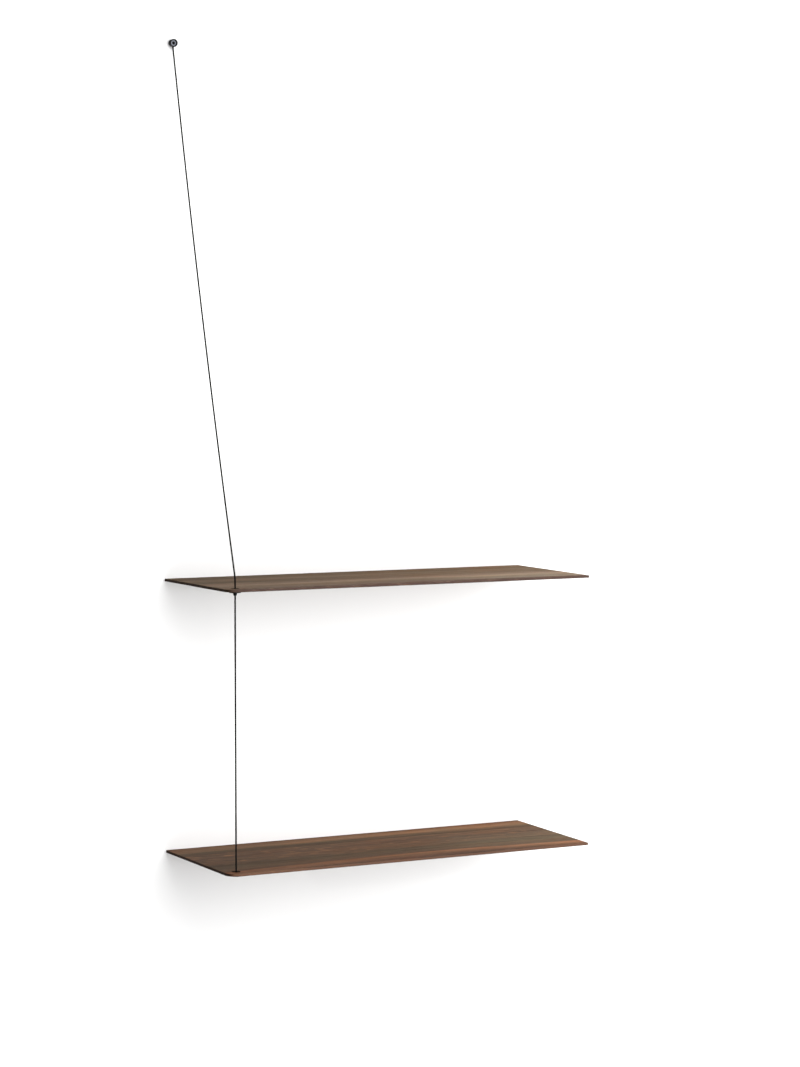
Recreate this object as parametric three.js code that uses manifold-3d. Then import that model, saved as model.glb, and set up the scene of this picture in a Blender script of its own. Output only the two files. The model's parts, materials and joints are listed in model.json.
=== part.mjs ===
// Two thin wooden shelf boards on a wall. Each board is pushed onto steel rods on a hidden wall rail,
// and its front left corner hangs on a thin black wire that starts at a small button higher on the wall.
//
// Frame, in millimetres: the wall is the plane y = 0 and the boards reach out to -Y. X runs along the
// wall to the right and Z points up. The origin is the middle of the upper rail's back face, which is
// also half way up the upper board's core.
import * as THREE from 'three';
import { mergeVertices } from 'three/addons/utils/BufferGeometryUtils.js';
import Module from 'manifold-3d';

// Driving dimensions
const GAP = 0.3; // free play between pieces that touch on the real object
const BOARD_LENGTH = 600; // along the wall
const BOARD_DEPTH = 227;
const END_TAPER = 5; // each end leans in by this much from the wall to the front
const EDGE_THICKNESS = 4; // what shows along the front and the ends
const CORE_THICKNESS = 16; // full thickness, where the rods go in
const FRONT_BEVEL = 140; // how far back from the front edge the underside rises
const END_BEVEL = 80; // the same, from each end
const ARRIS = 0.4; // small round on the top edges
const BOARD_PITCH = 406; // upper board to lower board
const WIRE_INSET = 18; // wire hole to the board's left end and to its front edge
const WIRE_RADIUS = 1.15;
const WIRE_BEND_RADIUS = 45; // where the slanted wire turns upright just above the board
const WIRE_SAG = 6.8; // how far the slanted wire's middle hangs towards the wall
const WIRE_SIDES = 10;

const BUTTON_INSET = 16; // button to the back of the board's left end
const BUTTON_ABOVE_TOP = 787; // button to the upper board's top
const BUTTON_RADIUS = 5.9;
const BUTTON_DEPTH = 8.2;

const RAIL = { length: 420, depth: 3, height: 13 };
const RAIL_SCREWS_X = [-190, -80, 80, 190];
const ROD = { radius: 4, reach: 98, chamfer: 0.8 };
const SCREW = { headRadius: 3.7, shankRadius: 1.9, tip: 42, taper: 6 };
const ROD_PLACES = { left: -160, middle: 0, right: 160 };
const LOCK_PLACES = { left: -160, right: 160 };
const LOCK_Y = -40;
const INSERT = { radius: 3.2, bottom: -7.9, top: -4.6 };
const LOCK_SCREW = { radius: 2, bottom: -7.7, top: -ROD.radius - GAP, key: 2, keyDepth: 1.6 };

// Worked out from the driving dimensions
const BOARD_TOP = CORE_THICKNESS / 2;
const LEFT_END = -BOARD_LENGTH / 2;
const END_LEAN = Math.atan2(END_TAPER, BOARD_DEPTH);
const WIRE_Y = -BOARD_DEPTH + WIRE_INSET;
const WIRE_X = LEFT_END - WIRE_Y * Math.tan(END_LEAN) + WIRE_INSET / Math.cos(END_LEAN);
const CORNER_RADIUS = WIRE_INSET;
const BUTTON_X = LEFT_END + BUTTON_INSET;
const BUTTON_Z = BOARD_TOP + BUTTON_ABOVE_TOP;

// Heights of the corner fittings, measured from the board's top
const RECESS = { radius: 6.5, depth: 1.6 }; // shallow round recess around the wire
const NUT_SEAT = { radius: 9, depth: 4.7 }; // flat milled into the sloping underside
const NUT_HOLE_RADIUS = 4;
const STUD = { radius: 2.2, top: 1.3, bottom: 3.7, socket: 1.8 };
const NUT = { flangeRadius: 8.5, flange: 0.9, barrelRadius: 3.7, barrelTop: 1.9, boreRadius: 2.5 };
const FERRULE = { radius: 3.0, tipRadius: 1.8, spigotTop: 4.0, shoulder: 6.2, tip: 10.2, socket: 5.0 };

const wasm = await Module();
wasm.setup();

const MATERIALS = {
  wood: new THREE.MeshStandardMaterial({ color: 0x5f4b3d, roughness: 0.6, metalness: 0 }),
  blackMetal: new THREE.MeshStandardMaterial({ color: 0x151516, roughness: 0.45, metalness: 0.6 }),
  screwHead: new THREE.MeshStandardMaterial({ color: 0x777b82, roughness: 0.35, metalness: 0.9 }),
  zincSteel: new THREE.MeshStandardMaterial({ color: 0xa9abad, roughness: 0.4, metalness: 0.9 }),
  brass: new THREE.MeshStandardMaterial({ color: 0xb28a3d, roughness: 0.35, metalness: 1 }),
};

// Solids: three.js shapes the geometry, manifold-3d joins and cuts it

function toSolid(geometry) {
  const bare = geometry.clone();
  bare.deleteAttribute('normal');
  bare.deleteAttribute('uv');
  const merged = mergeVertices(bare, 1e-4);
  return new wasm.Manifold(new wasm.Mesh({
    numProp: 3,
    vertProperties: new Float32Array(merged.attributes.position.array),
    triVerts: new Uint32Array(merged.index.array),
  }));
}

function toGeometry(solid) {
  const mesh = solid.getMesh();
  const geometry = new THREE.BufferGeometry();
  geometry.setAttribute('position', new THREE.BufferAttribute(mesh.vertProperties, 3));
  geometry.setIndex(new THREE.BufferAttribute(mesh.triVerts, 1));
  return geometry;
}

function cut(geometry, ...cutters) {
  let solid = toSolid(geometry);
  for (const cutter of cutters) solid = solid.subtract(toSolid(cutter));
  return toGeometry(solid);
}

function join(geometry, addition) {
  return toGeometry(toSolid(geometry).add(toSolid(addition)));
}

// A turned piece about the Y axis, from [radius, y] points. The profile starts and ends on the axis, or
// it runs round an opening, and it goes up on its outer side.
function turned(profile, sides = 24) {
  const points = profile.map(([radius, y]) => new THREE.Vector2(radius, y));
  if (profile[0][0] > 0) points.push(points[0].clone());
  return new THREE.LatheGeometry(points, sides);
}

// The same, about the Z axis
function turnedUpright(profile, sides = 24) {
  return turned(profile, sides).rotateX(Math.PI / 2);
}

// A plain round bar along Y or Z, for pins and for drilling
function barAlongY(radius, from, to, sides = 20) {
  return turned([[0, from], [radius, from], [radius, to], [0, to]], sides);
}

function barAlongZ(radius, from, to, sides = 20) {
  return turnedUpright([[0, from], [radius, from], [radius, to], [0, to]], sides);
}

// A hexagon socket cutter along Y or Z, from the distance across its flats
function hexAlongY(acrossFlats, from, to) {
  return barAlongY(acrossFlats / Math.sqrt(3), from, to, 6);
}

function hexAlongZ(acrossFlats, from, to) {
  return barAlongZ(acrossFlats / Math.sqrt(3), from, to, 6);
}

function box(sizeX, sizeY, sizeZ, x, y, z) {
  return new THREE.BoxGeometry(sizeX, sizeY, sizeZ).translate(x, y, z);
}

// Shelf board

// The board's outline seen from above: only the front left corner is round, about the wire
function boardOutline() {
  const shape = new THREE.Shape();
  shape.moveTo(-LEFT_END, 0);
  shape.lineTo(LEFT_END, 0);
  shape.absarc(WIRE_X, WIRE_Y, CORNER_RADIUS, Math.PI + END_LEAN, 1.5 * Math.PI, false);
  shape.lineTo(-LEFT_END - END_TAPER, -BOARD_DEPTH);
  shape.closePath();
  return shape;
}

// Everything below a slope that starts at the bottom of the thin edge and runs inwards. The profile is
// drawn with the edge at the left, and extruded to both sides of the board.
function bevelCutter(run) {
  const outside = 20;
  const slope = (CORE_THICKNESS - EDGE_THICKNESS) / run;
  const edgeBottom = BOARD_TOP - EDGE_THICKNESS;
  const profile = new THREE.Shape([
    new THREE.Vector2(-outside, edgeBottom + outside * slope),
    new THREE.Vector2(-outside, -BOARD_TOP - outside),
    new THREE.Vector2(run + outside, -BOARD_TOP - outside),
    new THREE.Vector2(run + outside, edgeBottom - (run + outside) * slope),
  ]);
  const length = 2 * BOARD_LENGTH;
  return new THREE.ExtrudeGeometry(profile, { depth: length, bevelEnabled: false })
    .translate(0, 0, -length / 2)
    .rotateX(Math.PI / 2);
}

function makeBoard() {
  const slab = new THREE.ExtrudeGeometry(boardOutline(), {
    depth: CORE_THICKNESS - 2 * ARRIS,
    bevelSize: ARRIS,
    bevelThickness: ARRIS,
    bevelOffset: -ARRIS,
    bevelSegments: 2,
    curveSegments: 10,
  }).translate(0, 0, -BOARD_TOP + ARRIS);

  const slopes = [
    bevelCutter(END_BEVEL).rotateZ(END_LEAN).translate(LEFT_END, 0, 0),
    bevelCutter(END_BEVEL).rotateZ(Math.PI - END_LEAN).translate(-LEFT_END, 0, 0),
    bevelCutter(FRONT_BEVEL).rotateZ(Math.PI / 2).translate(0, -BOARD_DEPTH, 0),
  ];

  const rebateDepth = RAIL.depth + GAP;
  const rebate = box(
    RAIL.length + 4 * GAP, 2 * rebateDepth, RAIL.height + 2 * GAP,
    0, 0, 0,
  );
  const rodBores = Object.values(ROD_PLACES).map(
    (x) => barAlongY(ROD.radius + GAP, -ROD.reach - 1, -1).translate(x, 0, 0),
  );
  const insertBores = Object.values(LOCK_PLACES).map(
    (x) => barAlongZ(INSERT.radius + GAP, -BOARD_TOP - 1, -ROD.radius + 1).translate(x, LOCK_Y, 0),
  );

  const corner = [
    barAlongZ(RECESS.radius, BOARD_TOP - RECESS.depth, BOARD_TOP + 1, 40),
    barAlongZ(NUT_HOLE_RADIUS, 0, BOARD_TOP),
    barAlongZ(NUT_SEAT.radius, -BOARD_TOP, BOARD_TOP - NUT_SEAT.depth, 40),
  ].map((cutter) => cutter.translate(WIRE_X, WIRE_Y, 0));

  return cut(slab, ...slopes, rebate, ...rodBores, ...insertBores, ...corner);
}

// Wall rail with its rods and screws

function makeRail() {
  const front = -RAIL.depth;
  const plate = box(RAIL.length, RAIL.depth, RAIL.height, 0, front / 2, 0);
  const mouth = SCREW.headRadius + GAP;
  const throat = SCREW.shankRadius + GAP;
  const holes = RAIL_SCREWS_X.map((x) => turned([
    [0, front - 1],
    [mouth, front - 1],
    [mouth, front + GAP],
    [throat, front + GAP + mouth - throat],
    [throat, 1],
    [0, 1],
  ], 16).translate(x, 0, 0));
  return cut(plate, ...holes);
}

function makeRod() {
  const start = -RAIL.depth - GAP;
  return turned([
    [0, -ROD.reach],
    [ROD.radius - ROD.chamfer, -ROD.reach],
    [ROD.radius, -ROD.reach + ROD.chamfer],
    [ROD.radius, start],
    [0, start],
  ], 20);
}

// Two crossed slots for a screwdriver, cut into a face at y
function crossRecess(width, size, y, depth) {
  return [box(size, 2 * depth, width, 0, y, 0), box(width, 2 * depth, size, 0, y, 0)];
}

function makeRailScrew() {
  const face = -RAIL.depth;
  const rim = 0.3;
  const { headRadius, shankRadius, tip, taper } = SCREW;
  const body = turned([
    [0, face],
    [headRadius, face],
    [headRadius, face + rim],
    [shankRadius, face + rim + headRadius - shankRadius],
    [shankRadius, tip - taper],
    [0.3, tip],
    [0, tip],
  ], 16);
  return cut(body, ...crossRecess(0.9, 4, face, 1.4));
}

// Lock screws: a headless screw in a brass insert presses on a rod from below

function makeInsert() {
  const bore = LOCK_SCREW.radius + GAP;
  return turnedUpright([
    [bore, INSERT.bottom],
    [INSERT.radius, INSERT.bottom],
    [INSERT.radius, INSERT.top],
    [bore, INSERT.top],
  ], 16);
}

function makeLockScrew() {
  const { radius, bottom, top, key, keyDepth } = LOCK_SCREW;
  const tipRound = 0.5;
  const body = turnedUpright([
    [0, bottom],
    [radius, bottom],
    [radius, top - tipRound],
    [radius - tipRound, top],
    [0, top],
  ], 16);
  return cut(body, hexAlongZ(key, bottom - 1, bottom + keyDepth));
}

// Corner fittings, about the upright wire axis, with z = 0 at the board's core like the board

const fromTop = (depth) => BOARD_TOP - depth;

// The threaded stud that is pressed onto a wire's lower end
function makeStud() {
  const socketRadius = WIRE_RADIUS + GAP;
  const top = fromTop(STUD.top);
  const bottom = fromTop(STUD.bottom);
  const chamfer = 0.3;
  return turnedUpright([
    [0, bottom],
    [STUD.radius - chamfer, bottom],
    [STUD.radius, bottom + chamfer],
    [STUD.radius, top - chamfer],
    [STUD.radius - chamfer, top],
    [socketRadius, top],
    [socketRadius, top - STUD.socket],
    [0, top - STUD.socket],
  ]);
}

// The flanged nut that carries the board's corner, with two holes for a pin spanner
function makeLevelNut() {
  const seat = fromTop(NUT_SEAT.depth) - GAP;
  const barrelTop = fromTop(NUT.barrelTop);
  const bottom = seat - NUT.flange;
  const rim = 0.2;
  const body = turnedUpright([
    [NUT.boreRadius, bottom],
    [NUT.flangeRadius - rim, bottom],
    [NUT.flangeRadius, bottom + rim],
    [NUT.flangeRadius, seat - rim],
    [NUT.flangeRadius - rim, seat],
    [NUT.barrelRadius, seat],
    [NUT.barrelRadius, barrelTop],
    [NUT.boreRadius, barrelTop],
  ], 32);
  const spannerHoles = [-1, 1].map((side) => barAlongZ(0.8, 0, BOARD_TOP, 10).translate(6.1 * side, 0, 0));
  return cut(body, ...spannerHoles);
}

// The tapered ferrule on the lower wire's upper end, which screws into the nut from below
function makeFerrule() {
  const socketRadius = WIRE_RADIUS + GAP;
  const shoulder = fromTop(FERRULE.shoulder);
  const tip = fromTop(FERRULE.tip);
  const taperSteps = 6;
  const outside = [];
  for (let i = 0; i <= taperSteps; i += 1) {
    const rise = i / taperSteps;
    const swell = Math.sin((rise * Math.PI) / 2);
    const radius = FERRULE.tipRadius + (FERRULE.radius - FERRULE.tipRadius) * swell;
    outside.push([radius, tip + (shoulder - tip) * rise]);
  }
  return turnedUpright([
    [socketRadius, tip],
    ...outside,
    [STUD.radius, shoulder],
    [STUD.radius, fromTop(FERRULE.spigotTop)],
    [0.2, fromTop(FERRULE.spigotTop)],
    [0.2, fromTop(FERRULE.socket)],
    [socketRadius, fromTop(FERRULE.socket)],
  ]);
}

// Wires

// A route through given points, so that a swept section stands exactly on each of them
class PointRoute extends THREE.Curve {
  constructor(points) {
    super();
    this.points = points;
  }

  getPointAt(u, target = new THREE.Vector3()) {
    const place = u * (this.points.length - 1);
    const index = Math.min(Math.floor(place), this.points.length - 2);
    return target.copy(this.points[index]).lerp(this.points[index + 1], place - index);
  }

  getTangentAt(u, target = new THREE.Vector3()) {
    const last = this.points.length - 1;
    const index = Math.round(u * last);
    const before = this.points[Math.max(index - 1, 0)];
    const after = this.points[Math.min(index + 1, last)];
    return target.copy(after).sub(before).normalize();
  }
}

function sweep(points) {
  const section = new THREE.Shape();
  for (let i = 0; i < WIRE_SIDES; i += 1) {
    const angle = (2 * Math.PI * i) / WIRE_SIDES;
    const x = WIRE_RADIUS * Math.cos(angle);
    const y = WIRE_RADIUS * Math.sin(angle);
    if (i === 0) section.moveTo(x, y);
    else section.lineTo(x, y);
  }
  section.closePath();
  const route = new PointRoute(points);
  return new THREE.ExtrudeGeometry(section, { steps: points.length - 1, extrudePath: route });
}

const BALL = { radius: 1.5, y: -2.8, belowCentre: 3.8 }; // the swaged ball that the button holds

// Upright out of the stud, round a gentle bend, then in a long shallow curve to the ball in the button
function upperWireRoute() {
  const ball = new THREE.Vector3(BUTTON_X, BALL.y, BUTTON_Z - BALL.belowCentre);
  const foot = new THREE.Vector3(WIRE_X, WIRE_Y, fromTop(STUD.top + STUD.socket - GAP));
  const bendStart = new THREE.Vector3(WIRE_X, WIRE_Y, BOARD_TOP + 9);
  const inwards = new THREE.Vector3(ball.x - WIRE_X, ball.y - WIRE_Y, 0);
  const reach = inwards.length();
  inwards.normalize();

  // A point on the bend, from how far the wire has turned
  const onBend = (angle) => {
    const point = bendStart.clone().addScaledVector(inwards, WIRE_BEND_RADIUS * (1 - Math.cos(angle)));
    point.z += WIRE_BEND_RADIUS * Math.sin(angle);
    return point;
  };

  // The bend ends where it is in line with the start of the long curve
  let turn = Math.atan2(reach, ball.z - bendStart.z);
  for (let i = 0; i < 8; i += 1) {
    const straight = ball.clone().sub(onBend(turn));
    const sideways = straight.dot(inwards);
    turn = Math.atan2(sideways, straight.z) + Math.atan((4 * WIRE_SAG) / straight.length());
  }

  const points = [foot];
  const bendSteps = 6;
  for (let i = 0; i <= bendSteps; i += 1) points.push(onBend((turn * i) / bendSteps));

  const bendEnd = onBend(turn);
  const along = ball.clone().sub(bendEnd);
  const lean = Math.atan2(along.dot(inwards), along.z);
  const towardsWall = inwards.clone().multiplyScalar(Math.cos(lean));
  towardsWall.z = -Math.sin(lean);
  const curveSteps = 16;
  for (let i = 1; i <= curveSteps; i += 1) {
    const t = i / curveSteps;
    const sag = 4 * WIRE_SAG * t * (1 - t);
    points.push(bendEnd.clone().addScaledVector(along, t).addScaledVector(towardsWall, sag));
  }
  return points;
}

function makeUpperWire() {
  const route = upperWireRoute();
  const ball = route[route.length - 1];
  const ballGeometry = new THREE.SphereGeometry(BALL.radius, 16, 12).translate(ball.x, ball.y, ball.z);
  return join(sweep(route), ballGeometry);
}

function makeLowerWire() {
  const top = fromTop(FERRULE.socket + GAP);
  const bottom = -BOARD_PITCH + fromTop(STUD.top + STUD.socket - GAP);
  return barAlongZ(WIRE_RADIUS, bottom, top, WIRE_SIDES).translate(WIRE_X, WIRE_Y, 0);
}

// Wall button: a turned cup with a pocket for the wire's ball, closed by the screw's head

const CUP = { bore: 4.9, floor: -4.2, back: -1.1, screwHole: 2.2, slotWidth: 2.9, pocketRadius: 1.8 };
const BUTTON_SCREW = { headRadius: 4.6, headBack: -4.5, headFace: -5.9, shankRadius: 1.9, tip: 40, taper: 6 };

function makeButtonCup() {
  const rim = -BUTTON_DEPTH;
  const body = turned([
    [CUP.bore, rim + 0.4],
    [CUP.bore + 0.2, rim],
    [BUTTON_RADIUS - 0.4, rim],
    [BUTTON_RADIUS, rim + 0.6],
    [BUTTON_RADIUS, -0.3],
    [BUTTON_RADIUS - 0.3, 0],
    [CUP.screwHole, 0],
    [CUP.screwHole, CUP.floor],
    [CUP.bore, CUP.floor],
  ], 32);
  const pocket = barAlongY(CUP.pocketRadius, CUP.floor - 1, CUP.back).translate(0, 0, -BALL.belowCentre);
  const slotDepth = CUP.back - rim + 1;
  const slotHeight = BUTTON_RADIUS;
  const slot = box(
    CUP.slotWidth, slotDepth, slotHeight,
    0, CUP.back - slotDepth / 2, -BALL.belowCentre - slotHeight / 2,
  );
  return cut(body, pocket, slot);
}

function makeButtonScrew() {
  const { headRadius, headBack, headFace, shankRadius, tip, taper } = BUTTON_SCREW;
  const body = turned([
    [0, headFace],
    [headRadius - 0.5, headFace],
    [headRadius, headFace + 0.5],
    [headRadius, headBack],
    [shankRadius, headBack],
    [shankRadius, tip - taper],
    [0.3, tip],
    [0, tip],
  ]);
  return cut(body, hexAlongY(3, headFace - 1, headFace + 1.2));
}

// Assembly

function add(parent, name, geometry, material, x = 0, y = 0, z = 0) {
  const mesh = new THREE.Mesh(geometry, material);
  mesh.name = name;
  mesh.position.set(x, y, z);
  parent.add(mesh);
}

const shapes = {
  board: makeBoard(),
  rail: makeRail(),
  rod: makeRod(),
  railScrew: makeRailScrew(),
  insert: makeInsert(),
  lockScrew: makeLockScrew(),
  stud: makeStud(),
  levelNut: makeLevelNut(),
};

// One board with its rail, rods, screws and corner fittings
function makeShelf(level) {
  const shelf = new THREE.Group();
  add(shelf, `${level}_board`, shapes.board, MATERIALS.wood);
  add(shelf, `${level}_rail`, shapes.rail, MATERIALS.zincSteel);
  for (const [place, x] of Object.entries(ROD_PLACES)) {
    add(shelf, `${level}_rod_${place}`, shapes.rod, MATERIALS.zincSteel, x);
  }
  RAIL_SCREWS_X.forEach((x, i) => {
    add(shelf, `${level}_rail_screw_${i + 1}`, shapes.railScrew, MATERIALS.zincSteel, x);
  });
  for (const [place, x] of Object.entries(LOCK_PLACES)) {
    add(shelf, `${level}_lock_insert_${place}`, shapes.insert, MATERIALS.brass, x, LOCK_Y);
    add(shelf, `${level}_lock_screw_${place}`, shapes.lockScrew, MATERIALS.blackMetal, x, LOCK_Y);
  }
  add(shelf, `${level}_wire_stud`, shapes.stud, MATERIALS.blackMetal, WIRE_X, WIRE_Y);
  add(shelf, `${level}_level_nut`, shapes.levelNut, MATERIALS.blackMetal, WIRE_X, WIRE_Y);
  return shelf;
}

const shelfUnit = new THREE.Group();

const upperShelf = makeShelf('upper');
const lowerShelf = makeShelf('lower');
lowerShelf.position.z = -BOARD_PITCH;
shelfUnit.add(upperShelf, lowerShelf);

add(shelfUnit, 'upper_wire', makeUpperWire(), MATERIALS.blackMetal);
add(shelfUnit, 'lower_wire', makeLowerWire(), MATERIALS.blackMetal);
add(shelfUnit, 'lower_wire_ferrule', makeFerrule(), MATERIALS.blackMetal, WIRE_X, WIRE_Y);

const button = new THREE.Group();
button.position.set(BUTTON_X, 0, BUTTON_Z);
add(button, 'button_cup', makeButtonCup(), MATERIALS.blackMetal);
add(button, 'button_screw', makeButtonScrew(), MATERIALS.screwHead);
shelfUnit.add(button);

export default shelfUnit;
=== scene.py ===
"""Looks of a wall shelf: two thin dark boards on hidden wall rails, their front left corners hung on a
black wire from a small wall button. It runs in Blender 4.5 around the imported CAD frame."""

import json
import math

import bmesh
import bpy
from mathutils import Matrix, Vector


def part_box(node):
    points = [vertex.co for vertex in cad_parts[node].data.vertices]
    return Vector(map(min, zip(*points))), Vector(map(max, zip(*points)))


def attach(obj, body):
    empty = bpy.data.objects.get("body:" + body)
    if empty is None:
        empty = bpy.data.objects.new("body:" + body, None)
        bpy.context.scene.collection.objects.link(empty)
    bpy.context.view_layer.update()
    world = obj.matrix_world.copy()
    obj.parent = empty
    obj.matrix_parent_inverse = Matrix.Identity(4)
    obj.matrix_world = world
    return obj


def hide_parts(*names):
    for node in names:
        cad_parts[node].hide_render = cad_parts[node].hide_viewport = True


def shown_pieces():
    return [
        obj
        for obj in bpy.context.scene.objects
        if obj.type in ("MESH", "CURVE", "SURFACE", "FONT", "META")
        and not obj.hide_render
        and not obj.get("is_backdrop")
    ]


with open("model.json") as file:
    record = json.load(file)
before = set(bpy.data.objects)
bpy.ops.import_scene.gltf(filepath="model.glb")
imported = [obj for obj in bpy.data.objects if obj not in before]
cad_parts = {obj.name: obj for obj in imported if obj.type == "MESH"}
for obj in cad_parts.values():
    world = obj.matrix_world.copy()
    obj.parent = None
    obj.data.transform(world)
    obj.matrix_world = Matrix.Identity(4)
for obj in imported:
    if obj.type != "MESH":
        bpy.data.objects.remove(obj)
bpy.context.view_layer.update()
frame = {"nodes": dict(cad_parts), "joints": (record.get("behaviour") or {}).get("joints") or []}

MM = 0.001
BODY = "shelf_unit"
LEVELS = ("upper", "lower")
ALONG_Y = Matrix.Rotation(math.radians(-90), 4, "X")  # turns a shape made about Z to lie about Y

# Places, read from the frame

BOARD_LOW, BOARD_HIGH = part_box("upper_board")
LEVEL_Z = {level: (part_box(f"{level}_board")[0].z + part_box(f"{level}_board")[1].z) / 2 for level in LEVELS}
WIRE_AXIS = Vector(frame["joints"][0]["pos_m"])
WIRE_AXIS.z = 0


def centre(node):
    """The middle of a CAD node's box."""
    low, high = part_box(node)
    return (low + high) / 2


# ---------------- meshes

def mesh_object(name, mesh, where=(0, 0, 0), turn=None):
    """Puts a mesh made in millimetres into the scene, in metres."""
    placed = mesh.copy()
    placed.name = name
    placed.transform(Matrix.Translation(where) @ (turn or Matrix()) @ Matrix.Scale(MM, 4))
    made = bpy.data.objects.new(name, placed)
    bpy.context.scene.collection.objects.link(made)
    return made


def finished(mesh, sharp_degrees=35):
    """Outward faces, smooth apart from the edges that are sharper than the limit."""
    work = bmesh.new()
    work.from_mesh(mesh)
    bmesh.ops.recalc_face_normals(work, faces=work.faces)
    work.to_mesh(mesh)
    work.free()
    for face in mesh.polygons:
        face.use_smooth = True
    mesh.set_sharp_from_angle(angle=math.radians(sharp_degrees))
    return mesh


def lathe(profile, segments=64, thread=None):
    """A closed turned shape about Z from (radius, z) points. Radius 0 is a pole, and a profile that
    doesn't start at a pole closes on itself. thread(z, turn) is subtracted from the radius, so it can
    cut a helix."""
    work = bmesh.new()
    rings = []
    for radius, z in profile:
        if radius == 0:
            rings.append([work.verts.new((0, 0, z))])
            continue
        ring = []
        for i in range(segments):
            turn = i / segments
            r = radius - (thread(z, turn) if thread else 0)
            angle = 2 * math.pi * turn
            ring.append(work.verts.new((r * math.cos(angle), r * math.sin(angle), z)))
        rings.append(ring)
    if len(rings[0]) > 1:
        rings.append(rings[0])
    for a, b in zip(rings, rings[1:]):
        for i in range(segments if len(a) + len(b) > 2 else 0):
            j = (i + 1) % segments
            corners = [a[i % len(a)], a[j % len(a)], b[j % len(b)], b[i % len(b)]]
            work.faces.new(list(dict.fromkeys(corners)))
    mesh = bpy.data.meshes.new("turned")
    work.to_mesh(mesh)
    work.free()
    return finished(mesh)


def prism(outline, low, high):
    """A closed upright prism over an outline of (x, y) points."""
    work = bmesh.new()
    bottom = [work.verts.new((x, y, low)) for x, y in outline]
    top = [work.verts.new((x, y, high)) for x, y in outline]
    work.faces.new(bottom[::-1])
    work.faces.new(top)
    for i in range(len(outline)):
        j = (i + 1) % len(outline)
        work.faces.new((bottom[i], bottom[j], top[j], top[i]))
    mesh = bpy.data.meshes.new("prism")
    work.to_mesh(mesh)
    work.free()
    return finished(mesh)


def block(x0, x1, y0, y1, z0, z1):
    """A plain box between six limits."""
    return prism([(x0, y0), (x1, y0), (x1, y1), (x0, y1)], z0, z1)


def hexagon(across_flats):
    """The six corners of a hexagon."""
    radius = across_flats / math.sqrt(3)
    angles = [math.radians(60 * i) for i in range(6)]
    return [(radius * math.cos(angle), radius * math.sin(angle)) for angle in angles]


def moved(mesh, x=0, y=0, z=0, turn=None):
    """The same mesh, turned and then shifted."""
    mesh.transform(Matrix.Translation((x, y, z)) @ (turn or Matrix()))
    return mesh


def cut(mesh, *cutters):
    """The mesh with the cutters taken out of it."""
    body = bpy.data.objects.new("body", mesh)
    bpy.context.scene.collection.objects.link(body)
    tools = []
    for cutter in cutters:
        tool = bpy.data.objects.new("tool", cutter)
        bpy.context.scene.collection.objects.link(tool)
        tools.append(tool)
        step = body.modifiers.new("cut", "BOOLEAN")
        step.operation = "DIFFERENCE"
        step.solver = "EXACT"
        step.object = tool
    evaluated = body.evaluated_get(bpy.context.evaluated_depsgraph_get())
    result = bpy.data.meshes.new_from_object(evaluated)
    for made in [body, *tools]:
        bpy.data.objects.remove(made)
    return finished(result)


def groove(pitch, depth, start, end, run_out):
    """The thread function of a V thread between two heights, which fades over run_out at its ends."""
    def cut_at(z, turn):
        phase = (z / pitch - turn) % 1
        fade = min(1, max(0, (z - start) / run_out), max(0, (end - z) / run_out))
        return depth * fade * (1 - abs(2 * phase - 1)) ** 1.5
    return cut_at


def rows(start, end, step):
    """Heights from start to end, evenly spaced and about a step apart."""
    count = max(1, round((end - start) / step))
    return [start + (end - start) * i / count for i in range(count + 1)]


# ---------------- material nodes

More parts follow.
